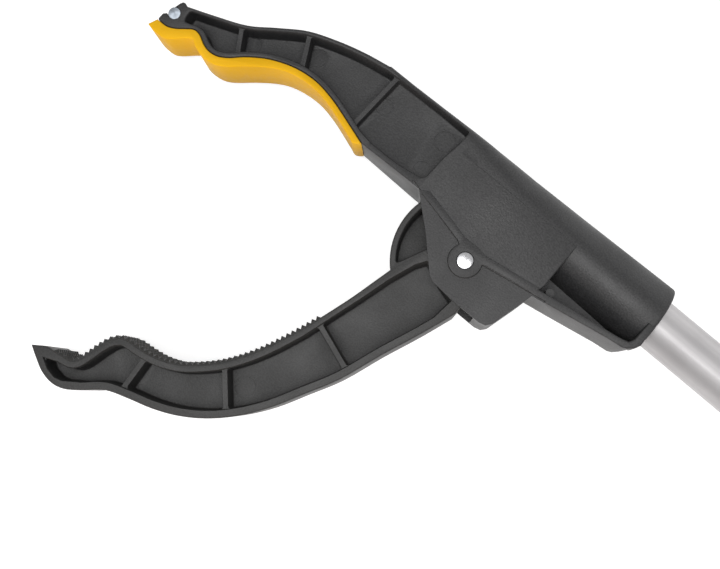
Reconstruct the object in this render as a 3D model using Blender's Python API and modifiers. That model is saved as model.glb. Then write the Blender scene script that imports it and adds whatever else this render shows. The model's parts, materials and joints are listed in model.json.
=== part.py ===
"""Reacher grabber: a fixed jaw with a soft grip insert, a toothed moving jaw, a long tube and a
pistol handle whose trigger pulls a rod that closes the jaw.

It lies on its side. X runs along the tube from the jaws to the handle, Y towards the fixed jaw's side,
and Z up, across the width. The origin is on the tube's axis, in line with the jaw's pivot, on the
resting plane. Lengths below are millimetres; MM turns them into metres.
"""
import math

import bmesh
import bpy
from mathutils import Matrix, Vector

MM = 0.001
GAP = 0.3                      # clearance between pieces that touch

# Widths, measured across the object from its middle plane
MID = 12.0                     # height of the middle plane above the resting plane
HALF_HEAD = 12.0               # head, collar and handle
HALF_FIXED_JAW = 8.5
HALF_MOVING_JAW = 10.0
HALF_WEB = 1.1
HALF_DEEP_WEB = 4.3            # under the pocket next to the cheek
HALF_TAIL = 3.0                # the moving jaw's tail, and the trigger's arm

# Tube and pull rod
TUBE_R = 8.0
TUBE_WALL = 1.0
TUBE_FRONT = 20.0
TUBE_REAR = 414.0
ROD_R = 2.0
GUIDE_LENGTH = 8.0
FRONT_GUIDE = 48.0
REAR_GUIDE = 374.0

# Jaw linkage
PIVOT = (0.0, -24.5)
PIVOT_PIN_R = 2.6
JAW_SWING = 50.0               # degrees from open to shut
JAW_ARM = 19.5                 # from the pivot up to the line of the clevis pin
CLEVIS_PIN_R = 2.0
LOBE_R = 22.7
CAVITY_R = 23.2

# The rod's travel follows from the jaw's swing, and the trigger's swing from the travel
TRAVEL = 2 * JAW_ARM * math.tan(math.radians(JAW_SWING / 2))
TRIGGER_PIVOT = (452.0, 11.0)
TRIGGER_ARM = 26.0
TRIGGER_SWING = 2 * math.degrees(math.atan(TRAVEL / 2 / TRIGGER_ARM))
CLEVIS_X = -TRAVEL / 2
CLEVIS_Y = PIVOT[1] + JAW_ARM
YOKE_X = TRIGGER_PIVOT[0] - TRAVEL / 2
YOKE_Y = TRIGGER_PIVOT[1] - TRIGGER_ARM
ROD_FRONT = CLEVIS_X + 8.0
ROD_REAR = YOKE_X - 12.5

# Head
COLLAR_END = 55.3              # on the axis; the end leans away from the jaw's side
COLLAR_LEAN = 0.095
FLANGE = 1.7                   # the fixed jaw's lower rim, seen from the side
BACK_RIM = (0.95, 1.6)         # its upper rim, at the tip and at the cheek
POCKET_END = -25.2
MAGNET = (-121.1, -23.6)
MAGNET_R = 2.0

# Spring
WASHER_X = 322.0
SPRING_TURNS = 11
SPRING_R = 4.2
SPRING_WIRE_R = 0.55

# Handle
SPLIT = 0.15                   # half the gap between the two shells
HANDLE_WALL = 2.4
HANDLE_ROUND = 4.0
SCREWS = [(424.0, -12.4), (480.0, 8.0), (502.0, -48.0), (512.0, -98.0)]
TUBE_PIN = (396.0, 4.6)

BLACK = (0.045, 0.045, 0.047)
DARK = (0.03, 0.03, 0.032)
YELLOW = (0.85, 0.45, 0.02)
STEEL = (0.75, 0.75, 0.76)
ALUMINIUM = (0.6, 0.61, 0.62)

# Outlines. The fixed jaw's back runs from the finger at its tip to the collar
JAW_BACK = [(-119.6, -19.4), (-110.0, -15.7), (-100.5, -11.6), (-92.6, -6.0), (-84.5, -0.6),
            (-75.0, 3.1), (-66.0, 5.6), (-57.0, 7.3)]
# The line between the fixed jaw and its grip insert, from the tip to the insert's end
JAW_SEAT = [(-123.9, -28.4), (-120.2, -28.3), (-117.4, -27.0), (-115.0, -25.1), (-112.6, -23.5),
            (-110.2, -23.6), (-107.0, -25.1), (-104.1, -25.7), (-101.0, -25.1), (-97.9, -23.1),
            (-93.8, -19.3), (-87.7, -15.2), (-80.0, -12.2), (-72.0, -11.2), (-64.0, -12.3),
            (-55.5, -14.7), (-48.0, -17.0)]
# The insert's gripping face
INSERT_FACE = [(-125.2, -31.6), (-123.2, -32.0), (-120.7, -32.1), (-118.3, -31.8), (-116.3, -30.6),
               (-114.0, -28.5), (-112.2, -26.9), (-110.8, -26.2), (-109.0, -27.2), (-105.7, -28.3),
               (-102.4, -28.3), (-99.2, -27.5), (-96.0, -25.4), (-91.6, -21.6), (-86.0, -17.4),
               (-81.0, -14.9), (-75.0, -13.6), (-69.0, -13.5), (-62.0, -14.9), (-52.0, -18.1)]
# The collar: place along X, half height, half width and squareness of its section
COLLAR = [(-57.3, 7.9, 9.0, 9.0), (-47.5, 8.1, 9.1, 8.0), (-36.0, 8.2, 10.6, 7.0), (-24.7, 8.4, 12.3, 6.0),
          (-14.0, 9.4, 12.2, 3.2), (0.3, 10.1, 11.9, 2.2), (20.6, 10.7, 11.9, 2.0),
          (COLLAR_END + 3.0, 11.6, 11.95, 2.0)]
# The keel under the collar, seen from the side: a flange that turns up into an end plate
KEEL = [(20.0, -20.0), (35.8, -17.0), (46.6, -14.9), (51.8, -14.2), (53.2, -13.5), (54.6, -12.1), (55.6, -10.2),
        (55.3, -3.3), (53.1, -3.3), (53.0, -8.4), (53.0, -9.8), (52.2, -11.5), (49.9, -12.2), (43.1, -13.4),
        (36.2, -14.5), (29.2, -15.6), (20.0, -17.4)]
CHEEK = [(-25.4, -16.4), (-20.1, -21.0), (-15.0, -25.2), (-7.2, -32.8), (-5.4, -34.5), (-3.2, -35.6),
         (4.0, -36.1), (15.0, -36.0), (17.2, -35.4), (18.5, -33.8), (21.3, -22.8), (22.9, -15.0)]
# The moving jaw's toothed face, from the tip to the end of the teeth and on to the guard lobe
JAW_FACE = [(-83.6, -130.2), (-78.4, -126.6), (-74.3, -125.6), (-70.8, -124.6), (-69.4, -121.0),
            (-68.3, -116.4), (-66.6, -112.2), (-63.4, -109.3), (-58.0, -108.4), (-52.6, -107.3),
            (-48.0, -105.4), (-43.6, -102.6), (-37.4, -96.5), (-32.8, -90.0), (-28.9, -82.5),
            (-25.0, -72.6), (-22.3, -64.7)]
JAW_FACE_SMOOTH = [(-21.0, -63.0), (-18.7, -55.0), (-16.9, -47.5), (-15.4, -41.2)]
# The moving jaw's outer side, from the tip to its root
JAW_OUTSIDE = [(-83.6, -130.2), (-79.4, -132.4), (-75.5, -134.1), (-71.2, -134.7), (-67.0, -133.6),
               (-62.6, -130.4), (-59.0, -127.0), (-55.6, -124.7), (-49.0, -122.3), (-42.2, -120.0),
               (-35.0, -116.5), (-28.0, -111.5), (-21.5, -104.9), (-15.5, -96.4), (-10.4, -86.6),
               (-5.1, -76.0), (-0.5, -62.6), (4.3, -50.0), (8.1, -38.8)]
# The handle's outline, from the top of its nose, over the back and down the grip
HANDLE_TOP = [(388.0, 12.4), (410.0, 13.4), (432.0, 17.4), (452.0, 20.6), (470.0, 19.8), (487.0, 14.0),
              (498.0, 4.6), (503.0, -6.0), (507.0, -20.0), (513.5, -40.0), (520.0, -62.0),
              (526.0, -86.0), (530.0, -106.0), (528.0, -113.5), (520.0, -117.4), (508.0, -118.4),
              (500.6, -115.2), (497.4, -108.0), (494.0, -92.0), (490.0, -68.0), (485.6, -50.0),
              (480.4, -36.0), (475.2, -24.0)]
HANDLE_UNDER = [(431.0, -19.4), (420.0, -18.0), (402.0, -14.4), (388.0, -12.4)]
# The trigger about its pivot, at the middle of its swing: front edge downwards, then back edge upwards
TRIGGER_FRONT = [(-5.6, -32.0), (-7.6, -37.0), (-12.6, -40.6), (-13.6, -43.4), (-10.0, -48.0),
                 (-6.4, -56.0), (-5.0, -66.0), (-5.8, -78.0), (-9.6, -90.0), (-15.6, -99.0)]
TRIGGER_BACK = [(-13.4, -103.6), (-7.0, -104.0), (1.4, -98.0), (6.0, -86.0), (7.8, -72.0),
                (7.8, -56.0), (6.8, -42.0), (5.6, -32.0)]


# ---------------------------------------------------------------- outlines

def smooth(points, steps=3):
    """Points on a smooth curve that passes through the given ones."""
    ends = [2 * Vector(points[0]) - Vector(points[1])]
    ends += [Vector(p) for p in points]
    ends += [2 * Vector(points[-1]) - Vector(points[-2])]
    result = []
    for i in range(1, len(ends) - 2):
        a, b, c, d = ends[i - 1:i + 3]
        for k in range(steps):
            t = k / steps
            result.append(0.5 * (2 * b + (c - a) * t + (2 * a - 5 * b + 4 * c - d) * t ** 2
                                 + (3 * b - a - 3 * c + d) * t ** 3))
    result.append(ends[-2])
    return [(p.x, p.y) for p in result]


def offset(path, distance, end=None):
    """The path moved sideways, to its left for a distance above zero, that may change evenly towards its end."""
    moved = []
    far = distance if end is None else end
    for i, point in enumerate(path):
        before = Vector(path[max(i - 1, 0)])
        after = Vector(path[min(i + 1, len(path) - 1)])
        along = (after - before).normalized()
        here = distance + (far - distance) * i / (len(path) - 1)
        moved.append((point[0] - along.y * here, point[1] + along.x * here))
    return moved


def arc(centre, radius, start, end, steps):
    """Points along an arc, in degrees."""
    angles = [math.radians(start + (end - start) * i / steps) for i in range(steps + 1)]
    return [(centre[0] + radius * math.cos(a), centre[1] + radius * math.sin(a)) for a in angles]


def slot(start, end, radius, steps=6):
    """The outline of a slot with round ends."""
    lean = math.degrees(math.atan2(end[1] - start[1], end[0] - start[0]))
    return (arc(end, radius, lean - 90, lean + 90, steps)
            + arc(start, radius, lean + 90, lean + 270, steps))


def polar(centre, radius, degrees):
    """The point at this distance and direction from the centre."""
    angle = math.radians(degrees)
    return (centre[0] + radius * math.cos(angle), centre[1] + radius * math.sin(angle))


def box_outline(x0, y0, x1, y1):
    return [(x0, y0), (x1, y0), (x1, y1), (x0, y1)]


def toothed(path, pitch, depth):
    """The path with straight-sided teeth cut to its right."""
    lengths = [0.0]
    for a, b in zip(path, path[1:]):
        lengths.append(lengths[-1] + math.dist(a, b))
    count = round(lengths[-1] / pitch)
    result = []
    for i in range(2 * count + 1):
        want = lengths[-1] * i / (2 * count)
        j = max(k for k, so_far in enumerate(lengths[:-1]) if so_far <= want)
        share = (want - lengths[j]) / (lengths[j + 1] - lengths[j])
        a, b = Vector(path[j]), Vector(path[j + 1])
        along = (b - a).normalized()
        inset = depth if i % 2 else 0.0
        point = a.lerp(b, share) + Vector((along.y, -along.x)) * inset
        result.append((point.x, point.y))
    return result


# ---------------------------------------------------------------- solids

def collection(name):
    """A new collection in the scene."""
    made = bpy.data.collections.new(name)
    bpy.context.scene.collection.children.link(made)
    return made


def material(name, colour, roughness, metallic=0.0):
    made = bpy.data.materials.new(name)
    made.use_nodes = True
    shader = made.node_tree.nodes["Principled BSDF"]
    shader.inputs["Base Color"].default_value = (*colour, 1.0)
    shader.inputs["Roughness"].default_value = roughness
    shader.inputs["Metallic"].default_value = metallic
    return made


def solid(name, mesh):
    """A mesh with its faces turned outwards, as an object among the cutters."""
    shape = bmesh.new()
    shape.from_mesh(mesh)
    bmesh.ops.remove_doubles(shape, verts=shape.verts, dist=1e-6)
    bmesh.ops.recalc_face_normals(shape, faces=shape.faces)
    shape.to_mesh(mesh)
    shape.free()
    made = bpy.data.objects.new(name, mesh)
    cutters.objects.link(made)
    made.hide_render = True
    made.display_type = "WIRE"
    return made


def plate(name, outline, low, high, plane="XY"):
    """A flat outline, filled and given its thickness from low to high across its plane."""
    curve = bpy.data.curves.new(name, "CURVE")
    curve.dimensions = "2D"
    curve.fill_mode = "BOTH"
    curve.extrude = (high - low) / 2 * MM
    spline = curve.splines.new("POLY")
    spline.points.add(len(outline) - 1)
    for point, (x, y) in zip(spline.points, outline):
        point.co = (x * MM, y * MM, 0.0, 1.0)
    spline.use_cyclic_u = True
    guide = bpy.data.objects.new(name, curve)
    cutters.objects.link(guide)
    evaluated = guide.evaluated_get(bpy.context.evaluated_depsgraph_get())
    mesh = bpy.data.meshes.new_from_object(evaluated)
    bpy.data.objects.remove(guide)
    turns = {"XY": Matrix.Identity(4),
             "XZ": Matrix.Rotation(math.pi / 2, 4, "X"),
             "YZ": Matrix.Rotation(math.pi / 2, 4, "Z") @ Matrix.Rotation(math.pi / 2, 4, "X")}
    shift = {"XY": (0, 0, 1), "XZ": (0, 1, 0), "YZ": (1, 0, 0)}[plane]
    mesh.transform(Matrix.Translation(Vector(shift) * (low + high) / 2 * MM) @ turns[plane])
    return solid(name, mesh)


def rod(name, centre, radius, low, high, axis="Z", sides=32, far_radius=None):
    """A cylinder, or a cone, between two places on its axis; centre gives its other two coordinates."""
    shape = bmesh.new()
    bmesh.ops.create_cone(shape, cap_ends=True, segments=sides, radius1=radius * MM,
                          radius2=(radius if far_radius is None else far_radius) * MM,
                          depth=(high - low) * MM)
    middle = (low + high) / 2
    if axis == "Z":
        turn, place = Matrix.Identity(4), (centre[0], centre[1], middle)
    else:
        turn, place = Matrix.Rotation(math.pi / 2, 4, "Y"), (middle, centre[0], centre[1])
    shape.transform(Matrix.Translation(Vector(place) * MM) @ turn)
    mesh = bpy.data.meshes.new(name)
    shape.to_mesh(mesh)
    shape.free()
    return solid(name, mesh)


def loft(name, sections, around=40):
    """A solid through superellipse sections: place along X, half height, half width, squareness."""
    shape = bmesh.new()
    rings = []
    for x, height, width, power in sections:
        ring = []
        for i in range(around):
            angle = math.tau * i / around
            y = height * math.copysign(abs(math.cos(angle)) ** (2 / power), math.cos(angle))
            z = width * math.copysign(abs(math.sin(angle)) ** (2 / power), math.sin(angle))
            ring.append(shape.verts.new((x * MM, y * MM, (MID + z) * MM)))
        rings.append(ring)
    for near, far in zip(rings, rings[1:]):
        for i in range(around):
            j = (i + 1) % around
            shape.faces.new((near[i], near[j], far[j], far[i]))
    shape.faces.new(rings[0])
    shape.faces.new(rings[-1])
    mesh = bpy.data.meshes.new(name)
    shape.to_mesh(mesh)
    shape.free()
    return solid(name, mesh)


def combine(target, other, operation):
    """Add a Boolean to the target; the other solid follows the target."""
    modifier = target.modifiers.new(other.name, "BOOLEAN")
    modifier.operation = operation
    modifier.object = other
    modifier.solver = "EXACT"
    other.parent = target


def join(target, *others):
    for other in others:
        combine(target, other, "UNION")


def cut(target, *others):
    for other in others:
        combine(target, other, "DIFFERENCE")


def keep(target, other):
    combine(target, other, "INTERSECT")


def bevel(target, width, segments=2, angle=40):
    modifier = target.modifiers.new("rounding", "BEVEL")
    modifier.width = width * MM
    modifier.segments = segments
    modifier.limit_method = "ANGLE"
    modifier.angle_limit = math.radians(angle)


def finish(target, name, look, axis_point=None, turned=0.0):
    """Name a finished piece, give it its material, and hang it on its joint's axis if it moves."""
    target.name = name
    target.data.name = name
    target.data.materials.clear()
    target.data.materials.append(look)
    target.data.shade_smooth()
    target.data.set_sharp_from_angle(angle=math.radians(32))
    target.hide_render = False
    target.display_type = "TEXTURED"
    cutters.objects.unlink(target)
    parts.objects.link(target)
    if axis_point is not None:
        axis = bpy.data.objects.new(name + "_axis", None)
        parts.objects.link(axis)
        axis.location = Vector((axis_point[0], axis_point[1], 0.0)) * MM
        axis.rotation_euler.z = math.radians(turned)
        target.parent = axis
    return target


def about(points, centre):
    """The outline measured from this centre."""
    return [(x - centre[0], y - centre[1]) for x, y in points]


def both_sides(low, high):
    """Heights of the same layer above and below the middle plane."""
    return [(MID + low, MID + high), (MID - high, MID - low)]


# ---------------------------------------------------------------- head

def pocket_region():
    """The hollow between the fixed jaw's rims, from its tip block to the cheek."""
    back = smooth(JAW_BACK)[1:] + [(-45.0, 7.9), (-36.0, 8.2), (POCKET_END + 0.8, 8.2)]
    upper = offset(back, -BACK_RIM[0], -BACK_RIM[1])
    corner = [(-117.6, -21.8), (-116.8, -23.7), (-114.4, -22.8), (-113.0, -22.1), (-111.6, -21.9)]
    lower = [p for p in offset(smooth(JAW_SEAT), FLANGE) if -110.5 < p[0] < -50.0]
    right = [(-46.0, -15.0), (-38.5, -15.0), (-33.8, -14.8), (POCKET_END - 1.6, -13.8), (POCKET_END - 0.5, -12.6),
             (POCKET_END - 0.4, -6.0), (POCKET_END, -1.0)]
    return upper[::-1] + corner + lower + right


def rib_slab(name, top, bottom, thickness, low, high):
    """A straight rib between two points of the pocket, longer than the pocket at both ends."""
    a, b = Vector(top), Vector(bottom)
    along = (b - a).normalized()
    side = Vector((-along.y, along.x)) * thickness / 2
    a -= along * 4
    b += along * 4
    corners = [a + side, b + side, b - side, a - side]
    return plate(name, [(p.x, p.y) for p in corners], low, high)


def make_head():
    tip = [(-123.4, -25.9), (-122.9, -25.4), (-122.2, -21.9), (-121.9, -20.4), (-121.3, -19.3),
           (-120.5, -19.0)]
    root = [(-50.0, 6.0), (-30.0, 5.0), (-23.6, -0.5), (-23.6, -16.8)]
    jaw = tip + smooth(JAW_BACK) + root + smooth(JAW_SEAT)[::-1]
    head = plate("jaw_block", jaw, -1.0, 2 * MID + 1.0)
    join(head, loft("collar_loft", COLLAR))
    join(head, plate("cheek_block", CHEEK + [(23.2, 0.0), (-25.4, 0.0)], -1.6, 2 * MID + 1.6))

    # The keel stands on a web, and the collar's end leans
    join(head, plate("keel_web", [(21.0, -18.4), (54.0, -12.8), (54.0, -6.0), (21.0, -6.0)],
                     MID - 1.3, MID + 1.3))
    join(head, plate("keel", KEEL, 0.1, 2 * MID - 0.1))
    lean = 40 * COLLAR_LEAN
    cut(head, plate("collar_end", [(COLLAR_END + lean, -40.0), (80.0, -40.0), (80.0, 40.0),
                                   (COLLAR_END - lean, 40.0)], -5.0, 2 * MID + 5.0))

    # The jaw is narrower than the cheeks
    width = [(-140.0, -HALF_FIXED_JAW), (-46.5, -HALF_FIXED_JAW), (-26.0, -HALF_HEAD), (70.0, -HALF_HEAD),
             (70.0, HALF_HEAD), (-26.0, HALF_HEAD), (-46.5, HALF_FIXED_JAW), (-140.0, HALF_FIXED_JAW)]
    envelope = plate("width_envelope", [(x, z + MID) for x, z in width], -60.0, 40.0, plane="XZ")
    keep(head, envelope)

    # Pockets on both sides of the web, with three ribs left standing
    pockets = plate("pockets", pocket_region(), -1.0, 2 * MID + 1.0)
    cut(pockets, plate("web", box_outline(-140, -60, 0, 30), MID - HALF_WEB, MID + HALF_WEB))
    cut(pockets, plate("deep_web", box_outline(-53.7, -60, 0, 30), MID - HALF_DEEP_WEB, MID + HALF_DEEP_WEB))
    ribs = [((-101.0, -14.2), (-97.0, -20.5)), ((-83.0, -2.2), (-78.8, -9.9)), ((-53.4, 3.7), (-54.0, -11.5))]
    for i, (top, bottom) in enumerate(ribs):
        cut(pockets, rib_slab(f"rib_{i + 1}", top, bottom, 1.5, -2.0, 2 * MID + 2.0))
    cut(head, pockets)

    # Notch that clips the magnet in the tip
    notch = arc(MAGNET, MAGNET_R + GAP, -130, 130, 18)
    cut(head, plate("magnet_notch", notch + [(-126.0, -21.6), (-126.0, -25.2)], -1.0, 2 * MID + 1.0))

    # Room for the moving jaw's root and lobe, open at the bottom and the front
    room = arc(PIVOT, CAVITY_R, 75, 205, 40)
    room += [(-27.0, -36.0), (-27.0, -42.0), (13.0, -42.0), (13.0, -30.0), (10.6, -24.5), (10.6, -8.0)]
    cut(head, plate("jaw_room", room, MID - HALF_MOVING_JAW - 0.4, MID + HALF_MOVING_JAW + 0.4))
    cut(head, plate("clevis_room", box_outline(-17.8, -15.0, 18.6, 5.5), MID - 6.5, MID + 6.5))
    cut(head, rod("tube_bore", (0.0, MID), TUBE_R + GAP, TUBE_FRONT - GAP, COLLAR_END + 2, "X", 40))
    cut(head, rod("shank_bore", (0.0, MID), 5.6, 15.0, TUBE_FRONT + 3, "X", 24))

    # Lower cheeks stand back from the band that runs across the pivot boss
    recess = [(-28.0, -15.5), (-5.3, -21.3)] + arc(PIVOT, 5.5, 150, 385, 24)
    recess += [(5.8, -21.9), (21.9, -19.0), (26.0, -18.2), (26.0, -44.0), (-28.0, -44.0)]
    for i, (low, high) in enumerate(both_sides(HALF_HEAD - 0.7, HALF_HEAD + 1.0)):
        cut(head, plate(f"cheek_recess_{i + 1}", recess, low, high))

    cut(head, rod("pivot_hole", PIVOT, PIVOT_PIN_R + GAP, -1.0, 2 * MID + 1.0, sides=28))
    cut(head, rod("screw_hole", (42.0, 0.0), 1.9, -1.0, MID, sides=16))
    cut(head, rod("screw_recess", (42.0, 0.0), 3.1, -1.0, 1.9, sides=20))
    finish(head, "head_housing", material("black_plastic", BLACK, 0.55))


def make_insert():
    seat = offset(smooth(JAW_SEAT), -GAP)
    face = smooth(INSERT_FACE)
    end = [(-51.2, -18.5), (-50.2, -18.6), (-49.2, -18.1)]
    outline = seat + end[::-1] + face[::-1]
    insert = plate("insert", outline, MID - HALF_FIXED_JAW, MID + HALF_FIXED_JAW)
    finish(insert, "grip_insert", material("yellow_rubber", YELLOW, 0.5))


def make_small_head_parts():
    steel = material("pin_steel", STEEL, 0.25, 1.0)
    magnet = rod("magnet", MAGNET, MAGNET_R, MID - 8.3, MID + 8.3, sides=24)
    finish(magnet, "tip_magnet", material("magnet_nickel", (0.62, 0.66, 0.7), 0.3, 1.0))
    pin = rod("pivot", PIVOT, PIVOT_PIN_R, 0.4, 2 * MID - 0.1, sides=28)
    finish(pin, "pivot_pin", steel)
    screw = rod("screw_head", (42.0, 0.0), 2.7, 0.3, 1.6, sides=20)
    join(screw, rod("screw_shank", (42.0, 0.0), 1.5, 1.2, 6.4, sides=14))
    cut(screw, cross_recess("collar_screw_cross", (42.0, 0.0), 1.1))
    finish(screw, "collar_screw", steel)


# ---------------------------------------------------------------- moving jaw

def make_moving_jaw():
    low, high = MID - HALF_MOVING_JAW, MID + HALF_MOVING_JAW
    face = smooth(JAW_FACE, 2)
    teeth = toothed(face[2:], 1.75, 0.85)
    outside = smooth(JAW_OUTSIDE, 2)
    lobe = arc(PIVOT, LOBE_R, 228, 135, 24)
    hub = arc(PIVOT, 8.4, 60, -20, 8)
    outline = face[:2] + teeth + smooth(JAW_FACE_SMOOTH, 2) + lobe + hub + outside[::-1]
    jaw = plate("jaw", about(outline, PIVOT), low, high)
    lean = 90 + JAW_SWING / 2
    tail = slot((0.0, 0.0), polar((0, 0), JAW_ARM + 2.0, lean), 4.7, 8)
    join(jaw, plate("tail", tail, MID - HALF_TAIL, MID + HALF_TAIL))

    # Pockets on both sides of the web: one behind the teeth, one inside the guard lobe
    inner = offset(smooth(JAW_FACE[1:-1], 2), -3.1)[2:]
    inner += [(-19.2, -63.6), (-16.5, -54.4), (-13.6, -43.5), (-10.6, -35.0), (-8.4, -31.6)]
    outer = offset(outside, 2.5)[10:]
    tip = [(-68.9, -131.9), (-71.4, -132.7), (-74.8, -132.2), (-77.0, -131.4), (-78.0, -130.6)]
    pocket = inner + [(-1.2, -34.8), (4.6, -36.4)] + outer[-2::-1] + tip
    lobe_pocket = arc(PIVOT, LOBE_R - 1.9, 222, 137, 20) + arc(PIVOT, 10.0, 137, 190, 6)
    ribs = [((-54.2, -111.5), (-53.4, -120.1)), ((-33.0, -97.4), (-25.0, -105.9)), ((-19.4, -68.1), (-7.2, -72.2))]
    for i, (bottom, top) in enumerate(both_sides(HALF_WEB, HALF_MOVING_JAW + 1.0)):
        hollow = plate(f"pocket_{i + 1}", about(pocket, PIVOT), bottom, top)
        for k, (a, b) in enumerate(ribs):
            a, b = about([a, b], PIVOT)
            cut(hollow, rib_slab(f"jaw_rib_{i + 1}_{k + 1}", a, b, 1.6, bottom - 1, top + 1))
        cut(jaw, hollow)
    for i, (bottom, top) in enumerate(both_sides(HALF_TAIL, HALF_MOVING_JAW + 1.0)):
        cut(jaw, plate(f"lobe_pocket_{i + 1}", about(lobe_pocket, PIVOT), bottom, top))
    pin_path = [polar((0, 0), JAW_ARM - 0.6, lean), polar((0, 0), JAW_ARM + 2.3, lean)]
    cut(jaw, plate("pin_slot", slot(*pin_path, CLEVIS_PIN_R + 0.5), low - 1, high + 1))
    cut(jaw, rod("pivot_hole", (0.0, 0.0), PIVOT_PIN_R + GAP, low - 1, high + 1, sides=28))
    finish(jaw, "moving_jaw", material("jaw_plastic", BLACK, 0.55), PIVOT)


# ---------------------------------------------------------------- tube and rod

def cross_recess(name, centre, depth):
    """The cross in a screw's head, which faces down."""
    arms = plate(name, box_outline(centre[0] - 1.5, centre[1] - 0.35, centre[0] + 1.5, centre[1] + 0.35),
                 -2.0, depth)
    join(arms, plate(name + "_bar", box_outline(centre[0] - 0.35, centre[1] - 1.5, centre[0] + 0.35,
                                                centre[1] + 1.5), -2.0, depth))
    return arms


def make_tube():
    tube = rod("tube_outside", (0.0, MID), TUBE_R, TUBE_FRONT, TUBE_REAR, "X", 40)
    cut(tube, rod("tube_inside", (0.0, MID), TUBE_R - TUBE_WALL, TUBE_FRONT - 5, TUBE_REAR + 5, "X", 32))
    cut(tube, rod("tube_screw_hole", (42.0, 0.0), 1.9, 0.0, MID, sides=14))
    cut(tube, rod("tube_pin_hole", TUBE_PIN, 1.8, -1.0, 2 * MID + 1, sides=14))
    finish(tube, "tube", material("tube_aluminium", ALUMINIUM, 0.35, 1.0))
    pin = rod("tube_fixing", TUBE_PIN, 1.5, MID - 10.4, MID + 10.4, sides=14)
    finish(pin, "tube_pin", material("tube_pin_steel", STEEL, 0.3, 1.0))
    plastic = material("guide_plastic", (0.7, 0.7, 0.68), 0.5)
    for name, x in (("rod_guide_front", FRONT_GUIDE), ("rod_guide_rear", REAR_GUIDE)):
        guide = rod(name + "_ring", (0.0, MID), TUBE_R - TUBE_WALL - GAP, x, x + GUIDE_LENGTH, "X", 24)
        cut(guide, rod(name + "_hole", (0.0, MID), ROD_R + GAP, x - 2, x + GUIDE_LENGTH + 2, "X", 20))
        finish(guide, name, plastic)


def make_rod():
    steel = material("rod_steel", STEEL, 0.3, 1.0)
    pull = rod("pull", (0.0, MID), ROD_R, ROD_FRONT, ROD_REAR, "X", 16)
    pin_places = {"clevis_roll_pin": (CLEVIS_X + 13.5, 5.0), "washer_cross_pin": (WASHER_X - 1.6, 4.6),
                  "yoke_roll_pin": (ROD_REAR - 5.5, 6.2)}
    for name, (x, reach) in pin_places.items():
        cut(pull, rod(name + "_hole", (x, 0.0), 1.05, MID - 4, MID + 4, sides=12))
        finish(rod(name, (x, 0.0), 0.75, MID - reach + 0.4, MID + reach - 0.4, sides=10), name, steel)
    finish(pull, "pull_rod", material("pull_rod_steel", STEEL, 0.3, 1.0))

    # The clevis carries the rod's pull to the jaw's tail
    plastic = material("linkage_plastic", (0.55, 0.55, 0.53), 0.5)
    ears = [(CLEVIS_X + 9.0, 3.0), (CLEVIS_X - 1.0, 3.0)]
    ears += arc((CLEVIS_X, CLEVIS_Y), 3.7, 150, 300, 10) + [(CLEVIS_X + 9.0, -3.8)]
    clevis = plate("clevis_ears", ears, MID - 5.7, MID + 5.7)
    join(clevis, rod("clevis_shank", (0.0, MID), 5.0, CLEVIS_X + 7.4, CLEVIS_X + 18.0, "X", 24))
    cut(clevis, plate("clevis_slot", box_outline(CLEVIS_X - 12, -14, CLEVIS_X + 7.2, 8), MID - 3.5, MID + 3.5))
    cut(clevis, rod("clevis_bore", (0.0, MID), ROD_R + GAP, CLEVIS_X, CLEVIS_X + 30, "X", 16))
    cut(clevis, rod("clevis_pin_hole", (CLEVIS_X, CLEVIS_Y), CLEVIS_PIN_R + GAP, 0, 2 * MID, sides=20))
    cut(clevis, rod("clevis_cross_hole", (CLEVIS_X + 13.5, 0.0), 1.05, 0, 2 * MID, sides=12))
    finish(clevis, "front_clevis", plastic)
    pin = rod("clevis_axle", (CLEVIS_X, CLEVIS_Y), CLEVIS_PIN_R, MID - 5.9, MID + 5.9, sides=20)
    finish(pin, "clevis_pin", steel)

    # The yoke at the rod's other end straddles the trigger's arm
    block = ROD_REAR - 12.0
    cheeks = [(block, 4.2), (ROD_REAR, 4.2), (YOKE_X + 4.4, YOKE_Y + 6.0)]
    cheeks += arc((YOKE_X, YOKE_Y), 4.4, 20, -130, 10) + [(ROD_REAR - 3.0, -8.0), (block, -5.2)]
    yoke = plate("yoke_cheeks", cheeks, MID - 6.4, MID + 6.4)
    cut(yoke, plate("yoke_slot", box_outline(ROD_REAR - 0.6, -30, YOKE_X + 20, 20), MID - 3.5, MID + 3.5))
    cut(yoke, plate("yoke_slot_low", box_outline(block - 2, -30, YOKE_X + 20, -7.4), MID - 3.5, MID + 3.5))
    cut(yoke, rod("yoke_bore", (0.0, MID), ROD_R + GAP, block - 2, ROD_REAR + 3, "X", 16))
    cut(yoke, rod("yoke_pin_hole", (YOKE_X, YOKE_Y), CLEVIS_PIN_R + GAP, 0, 2 * MID, sides=20))
    cut(yoke, rod("yoke_cross_hole", (ROD_REAR - 5.5, 0.0), 1.05, 0, 2 * MID, sides=12))
    finish(yoke, "rear_yoke", plastic)
    pin = rod("yoke_axle", (YOKE_X, YOKE_Y), CLEVIS_PIN_R, MID - 6.6, MID + 6.6, sides=20)
    finish(pin, "yoke_pin", steel)

    washer = rod("washer_disc", (0.0, MID), 5.6, WASHER_X, WASHER_X + 1.5, "X", 24)
    cut(washer, rod("washer_hole", (0.0, MID), ROD_R + GAP, WASHER_X - 2, WASHER_X + 4, "X", 20))
    finish(washer, "spring_washer", steel)


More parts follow.
